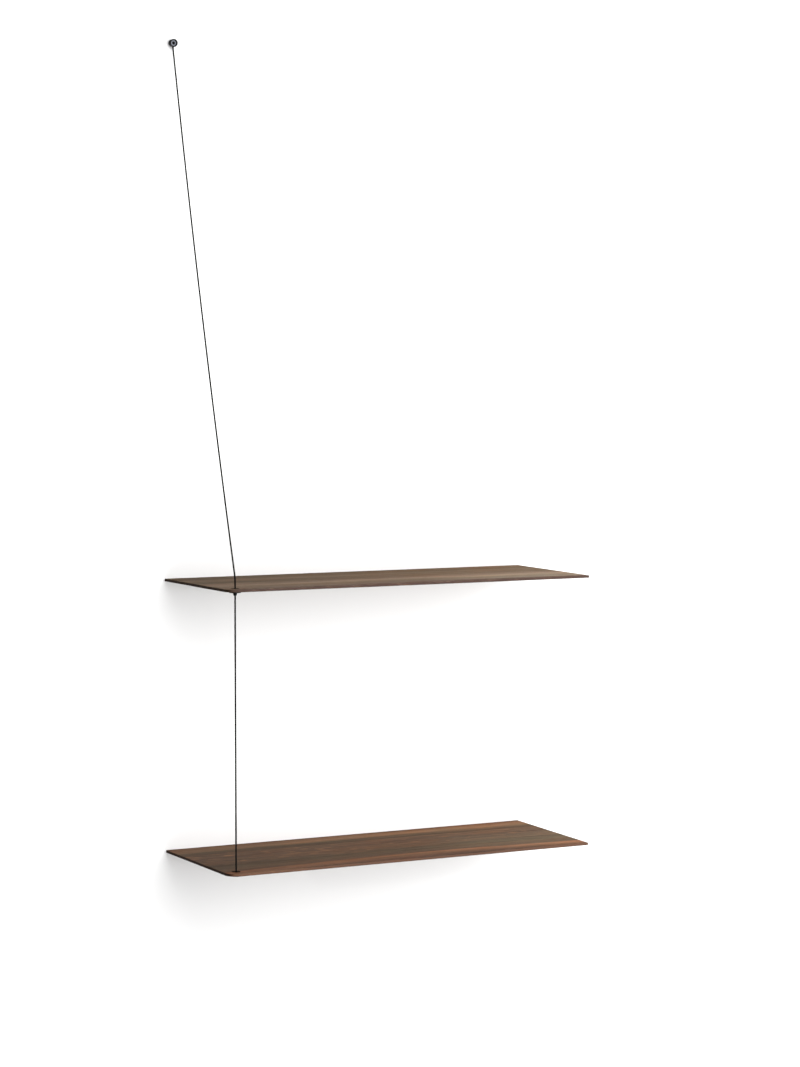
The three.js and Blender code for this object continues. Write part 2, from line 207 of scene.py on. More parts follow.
class Graph:
    """A short way to write one material's nodes."""

    def __init__(self, name):
        self.material = bpy.data.materials.new(name)
        self.material.use_nodes = True
        self.tree = self.material.node_tree
        self.shader = self.tree.nodes["Principled BSDF"]

    def node(self, kind, inputs=(), **settings):
        made = self.tree.nodes.new(kind)
        for key, value in settings.items():
            setattr(made, key, value)
        for key, value in dict(inputs).items():
            self.put(made.inputs[key], value)
        return made

    def put(self, socket, value):
        if isinstance(value, bpy.types.NodeSocket):
            self.tree.links.new(value, socket)
        else:
            socket.default_value = value

    def math(self, operation, a, b=0.0):
        return self.node("ShaderNodeMath", {0: a, 1: b}, operation=operation).outputs[0]

    def plus(self, total, *others):
        for other in others:
            total = self.math("ADD", total, other)
        return total

    def minus(self, a, b):
        return self.math("SUBTRACT", a, b)

    def times(self, product, *others):
        for other in others:
            product = self.math("MULTIPLY", product, other)
        return product

    def radius(self, a, b):
        """The distance from an axis, given the two coordinates across it."""
        return self.math("SQRT", self.plus(self.times(a, a), self.times(b, b)))

    def place(self):
        """The surface point in the object's own frame, in metres, as three sockets."""
        parts = self.node("ShaderNodeSeparateXYZ", {0: self.node("ShaderNodeTexCoord").outputs["Object"]})
        return parts.outputs[0], parts.outputs[1], parts.outputs[2]

    def facing(self):
        """How far the surface faces along each axis, without its sign."""
        parts = self.node("ShaderNodeSeparateXYZ", {0: self.node("ShaderNodeTexCoord").outputs["Normal"]})
        return [self.math("ABSOLUTE", parts.outputs[i]) for i in range(3)]

    def vector(self, x, y, z, scale=(1, 1, 1)):
        """A vector from three numbers, with each one scaled."""
        joined = self.node("ShaderNodeCombineXYZ", {0: x, 1: y, 2: z}).outputs[0]
        return self.node("ShaderNodeVectorMath", {0: joined, 1: scale}, operation="MULTIPLY").outputs[0]

    def noise(self, vector, scale=1.0, detail=2.0, rough=0.5, distortion=0.0):
        inputs = {
            "Vector": vector, "Scale": scale, "Detail": detail, "Roughness": rough,
            "Distortion": distortion,
        }
        return self.node("ShaderNodeTexNoise", inputs).outputs["Fac"]

    def between(self, value, low, high, to_low=0.0, to_high=1.0):
        """value mapped smoothly from low..high to to_low..to_high, and held at the ends."""
        inputs = {0: value, 1: low, 2: high, 3: to_low, 4: to_high}
        return self.node("ShaderNodeMapRange", inputs, interpolation_type="SMOOTHSTEP").outputs[0]

    def ramp(self, value, stops):
        """The colour at value, from (position, colour) stops."""
        made = self.node("ShaderNodeValToRGB", {0: value})
        elements = made.color_ramp.elements
        while len(elements) < len(stops):
            elements.new(0.5)
        for element, (position, colour) in zip(elements, stops):
            element.position = position
            element.color = (*colour, 1)
        return made.outputs[0]

    def mix(self, factor, a, b, blend="MIX"):
        """Colour a where factor is 0, and b, or the blend with b, where it is 1."""
        made = self.node("ShaderNodeMix", data_type="RGBA", blend_type=blend)
        # The node's colour sockets are inputs 6 and 7 and output 2
        self.put(made.inputs[0], factor)
        self.put(made.inputs[6], a if isinstance(a, bpy.types.NodeSocket) else (*a, 1))
        self.put(made.inputs[7], b if isinstance(b, bpy.types.NodeSocket) else (*b, 1))
        return made.outputs[2]

    def cloud(self, scale):
        """A fine mottling, from 0 to 1."""
        return self.noise(self.node("ShaderNodeTexCoord").outputs["Object"], scale, 3, 0.6)

    def shade(self, colour, amount):
        """The colour times a number."""
        return self.node("ShaderNodeVectorMath", {0: colour, 3: amount}, operation="SCALE").outputs[0]

    def bump(self, height, distance, strength=1.0):
        inputs = {"Height": height, "Distance": distance, "Strength": strength}
        self.put(self.shader.inputs["Normal"], self.node("ShaderNodeBump", inputs).outputs[0])

    def finish(self, colour, roughness, **constants):
        """Sets the shader's colour, roughness and constants, and returns the material."""
        self.put(self.shader.inputs["Base Color"], colour)
        self.put(self.shader.inputs["Roughness"], roughness)
        for key, value in constants.items():
            self.shader.inputs[key.replace("_", " ")].default_value = value
        return self.material


def linear(red, green, blue):
    """A display colour, 0 to 255, as the light it stands for."""
    return tuple(((v / 255 + 0.055) / 1.055) ** 2.4 for v in (red, green, blue))


# ---------------- wood

BOARD_DEPTH = BOARD_HIGH.y - BOARD_LOW.y
RECESS = {"radius": 6.5, "depth": 1.6, "soft": 0.2, "lip": 0.25}  # round the wire, in millimetres

# Tones across each board, from the wall (0) to the front edge (1), and the marks in them
UPPER_WOOD = {
    "seed": 7.3,
    "bow": 0.25,
    "tones": [
        (0.00, linear(96, 78, 59)), (0.16, linear(88, 71, 55)), (0.30, linear(97, 80, 62)),
        (0.46, linear(89, 74, 57)), (0.56, linear(106, 88, 71)), (0.64, linear(126, 105, 87)),
        (0.76, linear(96, 80, 64)), (0.88, linear(102, 86, 70)), (0.97, linear(84, 67, 57)),
    ],
    "fleck_zone": (0.55, 0.95),
    "fleck": 0.25,
    "fleck_colour": linear(140, 112, 92),
    "edge": linear(65, 52, 48),
    # Painted light: painted shade towards the left end, painted light towards the right end, and a painted
    # sheen in one band of growth lines
    "left_painted_shade_gain": 0.78,
    "right_painted_light_gain": 1.2,
    "painted_sheen_band": {"start": 0.64, "end": 0.98, "gain": 0.46},
    "recess_floor": 0.45,
}
LOWER_WOOD = {
    "seed": 2.6,
    "bow": 0.855,
    "tones": [
        (0.00, linear(96, 69, 53)), (0.12, linear(116, 88, 65)), (0.165, linear(102, 80, 59)),
        (0.185, linear(82, 67, 51)), (0.30, linear(89, 68, 52)), (0.40, linear(80, 61, 47)),
        (0.56, linear(85, 65, 49)), (0.66, linear(79, 64, 48)), (0.815, linear(82, 63, 48)),
        (0.832, linear(127, 87, 62)), (0.90, linear(104, 75, 55)), (0.98, linear(76, 56, 44)),
    ],
    "fleck_zone": (0.22, 0.66),
    "fleck": 0.6,
    "fleck_colour": linear(134, 94, 66),
    "edge": linear(89, 67, 56),
    # Painted light: painted shade towards the left end, painted light towards the right end, and a painted
    # sheen in one band of growth lines
    "left_painted_shade_gain": 0.79,
    "right_painted_light_gain": 1.2,
    "painted_sheen_band": {"start": 0.30, "end": 0.90, "gain": 0.20},
    "recess_floor": 0.2,
}
BOW_CENTRE = 0.05  # where along the board the bowed growth lines come closest to the wall


class WoodGraph(Graph):
    """Open-grain dark wood, with its grain along X."""

    def __init__(self, name, look):
        super().__init__(name)
        self.look = look
        self.x, self.y, self.z = self.place()
        self.line = self.growth_line()
        self.across = self.plus(self.times(self.line, BOARD_DEPTH), self.times(self.z, 0.8))

    def growth_line(self):
        """Which growth line runs through a point, from 0 at the wall to 1 at the front. The lines bow
        and waver."""
        x, y, z = self.x, self.y, self.z
        depth = self.math("DIVIDE", y, -BOARD_DEPTH)
        offset = self.minus(x, BOW_CENTRE)
        bow = self.times(self.times(offset, offset), self.times(depth, depth))
        slow = self.noise(self.vector(x, y, z, (2.4, 9, 9)), 1, 2, 0.5, 0.2)
        shifted = self.plus(y, self.look["seed"])
        quick = self.noise(self.vector(x, shifted, z, (11, 46, 46)), 1, 3, 0.55, 0.4)
        waver = self.plus(
            self.times(self.minus(slow, 0.5), 0.10),
            self.times(self.minus(quick, 0.5), 0.035),
        )
        return self.plus(self.minus(depth, self.times(bow, self.look["bow"])), waver)

    def grain(self, along, side, detail, rough, shift):
        """Noise drawn out along the growth lines, with its frequencies along and across them."""
        start = self.plus(self.x, self.look["seed"] + shift)
        at = self.vector(start, self.across, self.z, (along, side, side * 0.6))
        return self.noise(at, 1, detail, rough)

    def band(self, low, high, soft=0.1):
        """1 between two growth lines and 0 outside them."""
        rising = self.between(self.line, low, low + soft)
        falling = self.between(self.line, high - soft, high, 1, 0)
        return self.times(rising, falling)

    def tone(self, rings, fibres):
        """How light the grain is, as a factor about 1."""
        broad = self.grain(2.2, 60, 3, 0.6, 0.0)
        ragged = self.grain(15, 420, 3, 0.65, 4.4)
        dark_lines = self.grain(1.6, 110, 2, 0.5, 9.2)
        return self.plus(
            self.between(broad, 0.25, 0.75, 0.80, 1.20),
            self.between(rings, 0.3, 0.7, -0.14, 0.14),
            self.between(fibres, 0.3, 0.7, -0.06, 0.06),
            self.between(ragged, 0.32, 0.68, -0.20, 0.16),
            self.between(dark_lines, 0.56, 0.66, 0, -0.20),
        )

    def painted_light_along(self, tone, painted_sheen):
        """The tone with painted light: a painted sheen in its band, painted shade darkening it towards the
        left end and painted light brightening it towards the right end.
        """
        tone = self.times(tone, self.plus(self.times(painted_sheen, self.look["painted_sheen_band"]["gain"]), 1))
        tone = self.times(tone, self.between(self.x, -0.3, 0, self.look["left_painted_shade_gain"], 1))
        return self.times(tone, self.between(self.x, 0, 0.3, 1, self.look["right_painted_light_gain"]))

    def mottled(self, colour):
        """The colour with warmer patches."""
        patches = self.noise(self.vector(self.x, self.y, self.z, (7, 30, 30)), 1, 3, 0.6, 0.5)
        warm = self.mix(self.between(patches, 0.42, 0.70), (1.0, 1.0, 1.0), (1.10, 0.95, 0.86))
        return self.mix(1.0, colour, warm, "MULTIPLY")

    def flecked(self, colour):
        """The colour with short pale flecks in one zone."""
        x = self.plus(self.x, self.look["seed"])
        y = self.plus(self.y, self.times(self.x, 0.08))
        spots = self.noise(self.vector(x, y, self.z, (34, 120, 120)), 1, 2, 0.5)
        flecks = self.times(self.between(spots, 0.58, 0.72), self.band(*self.look["fleck_zone"]))
        return self.mix(self.times(flecks, self.look["fleck"]), colour, self.look["fleck_colour"])

    def with_edges(self, colour, along_x, along_y):
        """The colour, with the front edge's slanting marks and the darker end grain, which is partly the end
        grain's own colour and partly painted shade on the end faces.
        """
        x, y, z = self.x, self.y, self.z
        slant = self.plus(x, self.times(z, 5))
        marks = self.noise(self.vector(slant, z, y, (90, 700, 60)), 1, 3, 0.6)
        pale_marks = self.shade(self.ramp(self.line, self.look["tones"]), 1.5)
        front = self.mix(self.between(marks, 0.50, 0.75), self.look["edge"], pale_marks)
        colour = self.mix(self.times(self.between(along_y, 0.5, 0.9), 0.8), colour, front)
        dots = self.noise(self.vector(x, y, z, (200, 2600, 2600)), 1, 2, 0.5)
        # End grain: its own darker colour, painted darker still as painted shade on the end faces
        end = self.mix(self.between(dots, 0.4, 0.7), linear(34, 26, 20), linear(58, 45, 36))
        return self.mix(self.between(along_x, 0.55, 0.9), colour, end)

    def shaded_recess(self, colour, along_z):
        """The colour, darker inside the recess round the wire, where little light reaches."""
        x = self.minus(self.x, WIRE_AXIS.x)
        y = self.minus(self.y, WIRE_AXIS.y)
        from_wire = self.vector(x, y, 0.0)
        length = self.node("ShaderNodeVectorMath", {0: from_wire}, operation="LENGTH")
        wall = RECESS["radius"] * MM
        inside = self.between(length.outputs["Value"], wall, wall + 0.0003, 1, 0)
        how_dark = self.between(along_z, 0.4, 0.9, 0.9, self.look["recess_floor"])
        return self.mix(self.times(inside, how_dark), colour, linear(20, 15, 12))


def wood(name, look):
    """One board's wood: bands, grain, flecks, pores, edges, painted light and sheen along the board, and the
    shaded recess.
    """
    g = WoodGraph(name, look)
    rings = g.grain(4.5, 190, 3, 0.62, 1.7)
    fibres = g.grain(26, 1300, 2, 0.6, 3.1)
    pores = g.between(g.grain(55, 2300, 1, 0.5, 5.3), 0.60, 0.74)
    zone = look["painted_sheen_band"]
    painted_sheen = g.times(g.band(zone["start"], zone["end"]), g.between(g.x, 0.02, 0.16))

    # Painted light: the tone is darkened towards the left end and lightened towards the right end, and a
    # painted sheen makes it lighter and cooler in one band on the right half
    colour = g.shade(g.ramp(g.line, look["tones"]), g.painted_light_along(g.tone(rings, fibres), painted_sheen))
    colour = g.mix(1.0, colour, g.mix(painted_sheen, (1.0, 1.0, 1.0), (0.98, 1.10, 1.16)), "MULTIPLY")
    colour = g.flecked(g.mottled(colour))
    colour = g.mix(g.times(pores, 0.45), colour, (0.012, 0.008, 0.006))
    along_x, along_y, along_z = g.facing()
    colour = g.with_edges(colour, along_x, along_y)
    colour = g.shaded_recess(colour, along_z)

    roughness = g.plus(g.between(rings, 0.3, 0.7, 0.74, 0.82), g.times(pores, 0.10))
    g.bump(g.minus(g.times(fibres, 0.5), pores), 0.00008, 0.6)
    return g.finish(colour, roughness, Specular_IOR_Level=0.03)


# ---------------- metal and paint

def turned_marks(g, axis, spacing):
    """Fine rings round an axis, as a lathe leaves them, from 0 to 1."""
    x, y, z = g.place()
    along = {"y": y, "z": z}[axis]
    side = {"y": z, "z": y}[axis]
    return g.noise(g.vector(g.radius(x, side), along, 0.0, (1 / spacing,) * 3), 1, 3, 0.6)


def black_metal(name, axis):
    """Black anodised metal with fine turning marks."""
    g = Graph(name)
    marks = turned_marks(g, axis, 0.00025)
    colour = g.mix(g.between(g.cloud(900), 0.3, 0.75), linear(10, 10, 11), linear(22, 21, 22))
    g.bump(marks, 0.00002, 0.5)
    return g.finish(colour, g.between(marks, 0.3, 0.7, 0.42, 0.56), Specular_IOR_Level=0.04)


def black_coating(name):
    """The wire's coating: near black, satin, slightly rubbed."""
    g = Graph(name)
    cloud = g.cloud(700)
    colour = g.mix(g.between(cloud, 0.45, 0.8), linear(6, 6, 6), linear(16, 15, 15))
    g.bump(cloud, 0.00003, 0.5)
    return g.finish(colour, g.between(cloud, 0.3, 0.7, 0.50, 0.65), Specular_IOR_Level=0.035)


def screw_steel(name):
    """Turned grey steel, with painted shade: black inside and across the mouth of the hexagon socket, and a
    near-black ring at the head's rounded edge, so that a grey ring is left round the socket. Metres from the
    screw's axis, and from the wall."""
    g = Graph(name)
    marks = turned_marks(g, "y", 0.00018)
    colour = g.mix(g.between(g.cloud(450), 0.3, 0.75), linear(76, 79, 86), linear(96, 98, 104))
    x, y, z = g.place()
    radius = g.radius(x, z)
    # Painted shade: the hexagon socket's inside and mouth are painted black, and the head's edge is painted
    # near black
    behind_face = g.between(y, -0.0058, -0.0055)
    inside = g.times(behind_face, g.between(radius, 0.0028, 0.0034, 1, 0))
    mouth = g.between(radius, 0.0023, 0.0027, 1, 0)
    rim = g.between(radius, 0.0037, 0.0040)
    colour = g.mix(rim, colour, linear(14, 14, 15))
    colour = g.mix(g.math("MAXIMUM", inside, mouth), colour, linear(4, 4, 4))
    g.bump(marks, 0.00002, 0.6)
    return g.finish(colour, g.between(marks, 0.3, 0.7, 0.26, 0.42), Metallic=1.0)


def zinc_steel(name):
    """Bright zinc plate: bluish with pale yellow clouds and faint rolling lines."""
    g = Graph(name)
    x, y, z = g.place()
    cloud = g.noise(g.vector(x, y, z, (60, 90, 90)), 1, 4, 0.6, 0.6)
    lines = g.noise(g.vector(x, y, z, (40, 1500, 1500)), 1, 2, 0.5)
    colour = g.mix(g.between(cloud, 0.35, 0.7), linear(176, 184, 192), linear(198, 194, 180))
    g.bump(lines, 0.00002, 0.5)
    return g.finish(colour, g.between(lines, 0.3, 0.7, 0.28, 0.42), Metallic=1.0)


def brass(name):
    """Turned brass, slightly clouded."""
    g = Graph(name)
    marks = turned_marks(g, "z", 0.0003)
    colour = g.mix(g.between(g.cloud(500), 0.35, 0.75), linear(196, 160, 92), linear(160, 124, 66))
    g.bump(marks, 0.00002, 0.6)
    return g.finish(colour, g.between(marks, 0.3, 0.7, 0.26, 0.40), Metallic=1.0)


FINISH = {
    "upper_wood": (wood("dark_wood_upper", UPPER_WOOD), "dark_wood"),
    "lower_wood": (wood("dark_wood_lower", LOWER_WOOD), "dark_wood"),
    "wire": (black_coating("black_wire_coating"), "black_wire"),
    "black_y": (black_metal("black_metal_about_y", "y"), "black_metal"),
    "black_z": (black_metal("black_metal_about_z", "z"), "black_metal"),
    "screw": (screw_steel("screw_steel"), "screw_steel"),
    "zinc": (zinc_steel("zinc_plate"), "zinc_steel"),
    "brass": (brass("turned_brass"), "brass"),
}


def piece(name, mesh, finish, replaces=(), where=(0, 0, 0), turn=None, body=BODY):
    """One shown piece, made about its own origin, on its body and in place of its CAD nodes."""
    made = mesh_object(name, mesh, (0, 0, 0), turn)
    made.location = where
    material, slot = FINISH[finish]
    made.data.materials.clear()
    made.data.materials.append(material)
    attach(made, body)
    if replaces:
        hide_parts(*replaces)
    return made


# ---------------- boards, in millimetres about the core's back

CORE = (BOARD_HIGH.z - BOARD_LOW.z) / MM
TOP = CORE / 2
HALF_LENGTH = BOARD_HIGH.x / MM
DEPTH = BOARD_DEPTH / MM
END_TAPER = 5.0  # each end leans in by this much from the wall to the front
END_LEAN = math.degrees(math.atan2(END_TAPER, DEPTH))
EDGE = 4.0
FRONT_BEVEL = 140.0
END_BEVEL = 80.0
EDGE_ROUND = 0.6
WIRE_X = WIRE_AXIS.x / MM
WIRE_Y = WIRE_AXIS.y / MM
CORNER_RADIUS = WIRE_Y + DEPTH
ROD_X = (-160, 0, 160)
ROD_BORE = {"radius": 4.3, "depth": 99}
LOCK_X = (-160, 160)
LOCK_Y = -40
LOCK_BORE = {"radius": 3.5, "top": -3}
REBATE = {"length": 421.2, "depth": 3.3, "height": 13.6}  # the groove that the rail sits in

# The other cuts at the wire, in millimetres below the board's top
NUT_HOLE_RADIUS = 4
NUT_SEAT = {"radius": 9, "depth": 4.7, "soft": 0.2}


def board_outline(inset, corner_steps=20):
    """The board's outline, moved in from the ends and the front but not from the wall."""
    end = HALF_LENGTH - inset
    points = [(end - END_TAPER, -DEPTH + inset), (end, 0), (-end, 0)]
    for i in range(corner_steps + 1):
        angle = math.radians(180 + END_LEAN + (90 - END_LEAN) * i / corner_steps)
        radius = CORNER_RADIUS - inset
        points.append((WIRE_X + radius * math.cos(angle), WIRE_Y + radius * math.sin(angle)))
    return points


def board_blank():
    """The convex board: rounded edges all round and an underside that rises to the thin edges."""
    work = bmesh.new()
    steps = 4
    for i in range(steps + 1):
        angle = math.radians(90 * i / steps)
        inset = EDGE_ROUND * (1 - math.sin(angle))
        drop = EDGE_ROUND * (1 - math.cos(angle))
        for x, y in board_outline(inset):
            work.verts.new((x, y, TOP - drop))
            work.verts.new((x, y, TOP - EDGE + drop))
    for y in (0, -DEPTH + FRONT_BEVEL):
        x = HALF_LENGTH + END_TAPER * y / DEPTH - END_BEVEL
        work.verts.new((x, y, -TOP))
        work.verts.new((-x, y, -TOP))
    bmesh.ops.remove_doubles(work, verts=work.verts, dist=0.001)
    hull = bmesh.ops.convex_hull(work, input=work.verts)
    loose = [v for v in hull["geom_interior"] if isinstance(v, bmesh.types.BMVert)]
    bmesh.ops.delete(work, geom=loose, context="VERTS")
    bmesh.ops.dissolve_limit(work, angle_limit=math.radians(0.4), verts=work.verts, edges=work.edges)
    mesh = bpy.data.meshes.new("board")
    work.to_mesh(mesh)
    work.free()
    return mesh


def corner_cuts():
    """The shallow recess, the hole and the nut's seat, all about the wire."""
    radius, soft, lip = RECESS["radius"], RECESS["soft"], RECESS["lip"]
    floor = TOP - RECESS["depth"]
    recess = lathe([
        (0, floor), (radius - soft, floor), (radius, floor + soft), (radius, TOP - lip), (radius + lip, TOP),
        (radius + lip, TOP + 1), (0, TOP + 1),
    ])
    hole = lathe([(0, 0), (NUT_HOLE_RADIUS, 0), (NUT_HOLE_RADIUS, TOP + 1), (0, TOP + 1)])
    radius, soft = NUT_SEAT["radius"], NUT_SEAT["soft"]
    top = TOP - NUT_SEAT["depth"]
    seat = lathe([(0, -TOP), (radius, -TOP), (radius, top - soft), (radius - soft, top), (0, top)])
    return [moved(tool, WIRE_X, WIRE_Y) for tool in (recess, hole, seat)]


def rod_cut():
    """The bore for one of the rail's rods, about Z."""
    radius, depth = ROD_BORE["radius"], ROD_BORE["depth"]
    return lathe([(0, -depth), (radius, -depth), (radius, 1), (0, 1)], 32)


def lock_cut():
    """The bore for one brass insert and its lock screw, which reaches up to a rod's bore."""
    radius, top = LOCK_BORE["radius"], LOCK_BORE["top"]
    return lathe([(0, -TOP - 1), (radius, -TOP - 1), (radius, top), (0, top)], 32)


def board_mesh():
    """The board with its recess, nut seat, bores and the groove for the rail."""
    bores = [moved(rod_cut(), x, turn=ALONG_Y) for x in ROD_X]
    inserts = [moved(lock_cut(), x, LOCK_Y) for x in LOCK_X]
    half, depth, side = REBATE["length"] / 2, REBATE["depth"], REBATE["height"] / 2
    rebate = block(-half, half, -depth, depth, -side, side)
    mesh = cut(board_blank(), *corner_cuts(), *bores, *inserts, rebate)
    flat_area = 30
    for face in mesh.polygons:
        face.use_smooth = face.area < flat_area
    return mesh


BOARD = board_mesh()
for level in LEVELS:
    piece(f"{level}_board_wood", BOARD, f"{level}_wood", [f"{level}_board"], (0, 0, LEVEL_Z[level]))


# ---------------- wires

WIRE_RADIUS = 1.25
STRANDS = 6
LAY = 16.0  # how far the strands run for one turn
BEND_RADIUS = 45.0
SAG = 6.8  # how far the slanted wire's middle hangs towards the wall
BALL_RADIUS = 1.5
STUD_SOCKET = 2.8  # below the board's top, where a wire ends in its stud
UPRIGHT = 9.0  # how far a wire stands straight up above the board's top


def strand_radius(angle):
    """The outline of a coated six-strand wire: round humps with the coating drawn over the valleys."""
    half = math.pi / STRANDS
    off = abs((angle + half) % (2 * half) - half)
    hump = 2 / 3 * math.cos(off) + math.sqrt(max(0, 1 / 9 - (2 / 3 * math.sin(off)) ** 2))
    return WIRE_RADIUS * max(hump, 0.87 + 0.03 * math.cos(off))


def sweep(points, sides=36):
    """A twisted wire along points that are about evenly spaced, closed at both ends."""
    work = bmesh.new()
    rings = []
    side = Vector((1, 0, 0))
    travelled = 0
    for i, point in enumerate(points):
        before = points[max(i - 1, 0)]
        after = points[min(i + 1, len(points) - 1)]
        forward = (after - before).normalized()
        side = (side - forward * side.dot(forward)).normalized()
        other = forward.cross(side)
        travelled += (point - before).length
        twist = 2 * math.pi * travelled / LAY
        ring = []
        for k in range(sides):
            angle = 2 * math.pi * k / sides
            radius = strand_radius(angle)
            out = side * math.cos(angle + twist) + other * math.sin(angle + twist)
            ring.append(work.verts.new(point + out * radius))
        rings.append(ring)
    for a, b in zip(rings, rings[1:]):
        for k in range(sides):
            j = (k + 1) % sides
            work.faces.new((a[k], a[j], b[j], b[k]))
    work.faces.new(rings[0][::-1])
    work.faces.new(rings[-1])
    mesh = bpy.data.meshes.new("wire")
    work.to_mesh(mesh)
    work.free()
    return finished(mesh, 80)


def spaced(points, step):
    """The same broken line with points about a step apart."""
    out = [points[0]]
    for a, b in zip(points, points[1:]):
        count = max(1, round((b - a).length / step))
        out += [a.lerp(b, i / count) for i in range(1, count + 1)]
    return out


def upper_route():
    """Straight up out of the stud, round a gentle bend, then in a long shallow curve to the button."""
    ball_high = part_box("upper_wire")[1] / MM
    ball = Vector((centre("button_cup").x / MM, ball_high.y - BALL_RADIUS, ball_high.z - BALL_RADIUS))
    foot = Vector((WIRE_X, WIRE_Y, TOP - STUD_SOCKET))
    start = Vector((WIRE_X, WIRE_Y, TOP + UPRIGHT))
    inwards = Vector((ball.x - WIRE_X, ball.y - WIRE_Y, 0)).normalized()

    def on_bend(angle):
        rise = Vector((0, 0, BEND_RADIUS * math.sin(angle)))
        return start + inwards * BEND_RADIUS * (1 - math.cos(angle)) + rise

    turn = 0
    for _ in range(12):
        line = ball - on_bend(turn)
        turn = math.atan2(line.dot(inwards), line.z) + math.atan(4 * SAG / line.length)
    lean = math.atan2(line.dot(inwards), line.z)
    towards_wall = inwards * math.cos(lean) - Vector((0, 0, math.sin(lean)))
    bend_steps, curve_steps = 20, 60
    route = [foot, *(on_bend(turn * i / bend_steps) for i in range(bend_steps + 1))]
    for i in range(1, curve_steps + 1):
        t = i / curve_steps
        route.append(on_bend(turn) + line * t + towards_wall * 4 * SAG * t * (1 - t))
    return route


WIRE_STEP = 0.9
UPPER_ROUTE = upper_route()
piece("upper_wire_strands", sweep(spaced(UPPER_ROUTE, WIRE_STEP)), "wire", ["upper_wire"])


def ball_mesh():
    """The swaged ball on the upper wire's end."""
    profile = [(0, -BALL_RADIUS)]
    for degrees in range(12, 180, 12):
        angle = math.radians(degrees)
        profile.append((BALL_RADIUS * math.sin(angle), -BALL_RADIUS * math.cos(angle)))
    profile.append((0, BALL_RADIUS))
    return lathe(profile, 36)


piece("upper_wire_ball", ball_mesh(), "black_z", where=UPPER_ROUTE[-1] * MM)

LOWER_LOW, LOWER_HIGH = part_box("lower_wire")
LOWER_ROUTE = [Vector((0, 0, z)) for z in rows(LOWER_LOW.z / MM, LOWER_HIGH.z / MM, WIRE_STEP)]
piece("lower_wire_strands", sweep(LOWER_ROUTE), "wire", ["lower_wire"], WIRE_AXIS)


# ---------------- corner fittings, heights below the board's top

WIRE_BORE = 1.35  # radius of the bores that a wire goes into
STUD = {"radius": 2.2, "chamfer": 0.3, "top": 1.3, "bottom": 3.7, "socket": 1.8, "pitch": 0.8}
NUT = {"flange": 8.5, "thickness": 0.9, "seat": 5.0, "barrel": 3.7, "top": 1.9, "bore": 2.5}
PIN_HOLE = {"radius": 0.8, "from_middle": 6.1}
FERRULE = {
    "radius": 3.0, "tip_radius": 1.8, "spigot": 2.2, "spigot_top": 4.0, "socket": 5.0, "shoulder": 6.2,
    "tip": 10.2,
}


def down(depth):
    """A depth below the board's top, as a height."""
    return TOP - depth


def stud_mesh():
    """A threaded stud, open at the top for the wire."""
    top, bottom = down(STUD["top"]), down(STUD["bottom"])
    radius, chamfer = STUD["radius"], STUD["chamfer"]
    thread = groove(STUD["pitch"], 0.35, bottom + 0.1, top - 0.1, 0.3)
    profile = [(0, bottom), (radius - chamfer, bottom), (radius, bottom + chamfer)]
    profile += [(radius, z) for z in rows(bottom + 0.4, top - 0.4, 0.1)]
    profile += [
        (radius, top - chamfer), (radius - chamfer, top), (WIRE_BORE + 0.15, top), (WIRE_BORE, top - 0.15),
        (WIRE_BORE, top - STUD["socket"]), (0, top - STUD["socket"]),
    ]
    return lathe(profile, 48, lambda z, turn: 0 if z in (top, bottom) else thread(z, turn))


def nut_mesh():
    """The flanged level nut: softened rims, a turned flange and two pin-spanner holes."""
    seat = down(NUT["seat"])
    bottom = seat - NUT["thickness"]
    top = down(NUT["top"])
    flange, barrel, bore = NUT["flange"], NUT["barrel"], NUT["bore"]
    profile = [
        (bore, bottom + 0.25), (bore + 0.25, bottom), (flange - 0.35, bottom), (flange - 0.1, bottom + 0.1),
        (flange, bottom + 0.3), (flange, seat - 0.3), (flange - 0.1, seat - 0.1), (flange - 0.3, seat),
        (barrel, seat), (barrel, top - 0.25), (barrel - 0.25, top), (bore + 0.25, top), (bore, top - 0.25),
    ]
    radius = PIN_HOLE["radius"]
    low, high = seat - 2, seat + 1
    holes = []
    for side in (-1, 1):
        hole = lathe([(0, low), (radius, low), (radius, high), (0, high)], 24)
        holes.append(moved(hole, side * PIN_HOLE["from_middle"]))
    return cut(lathe(profile, 96), *holes)


def ferrule_mesh():
    """The tapered ferrule on the lower wire's upper end, with a shoulder and a rounded taper."""
    shoulder, tip = down(FERRULE["shoulder"]), down(FERRULE["tip"])
    spigot_top, socket = down(FERRULE["spigot_top"]), down(FERRULE["socket"])
    radius, tip_radius, spigot = FERRULE["radius"], FERRULE["tip_radius"], FERRULE["spigot"]
    soft = 0.1
    profile = [(WIRE_BORE, tip + soft), (WIRE_BORE + 0.15, tip)]
    steps = 16
    for i in range(steps + 1):
        rise = i / steps
        r = tip_radius + (radius - tip_radius) * math.sin(rise * math.pi / 2)
        profile.append((r, tip + soft + (shoulder - tip - 3 * soft) * rise))
    profile += [
        (radius - soft, shoulder), (spigot, shoulder), (spigot, spigot_top - 0.2), (spigot - 0.2, spigot_top),
        (0, spigot_top), (0, socket), (WIRE_BORE, socket),
    ]
    return lathe(profile, 64)


STUD_MESH = stud_mesh()
NUT_MESH = nut_mesh()
for level in LEVELS:
    place = WIRE_AXIS + Vector((0, 0, LEVEL_Z[level]))
    piece(f"{level}_wire_stud_threaded", STUD_MESH, "black_z", [f"{level}_wire_stud"], place)
    nut = f"{level}_level_nut"
    piece(f"{nut}_turned", NUT_MESH, "black_z", [nut], place, body=f"{level}_nut")
piece("lower_wire_ferrule_turned", ferrule_mesh(), "black_z", ["lower_wire_ferrule"], WIRE_AXIS)


# ---------------- wall button, made about +Y with its face to -Y

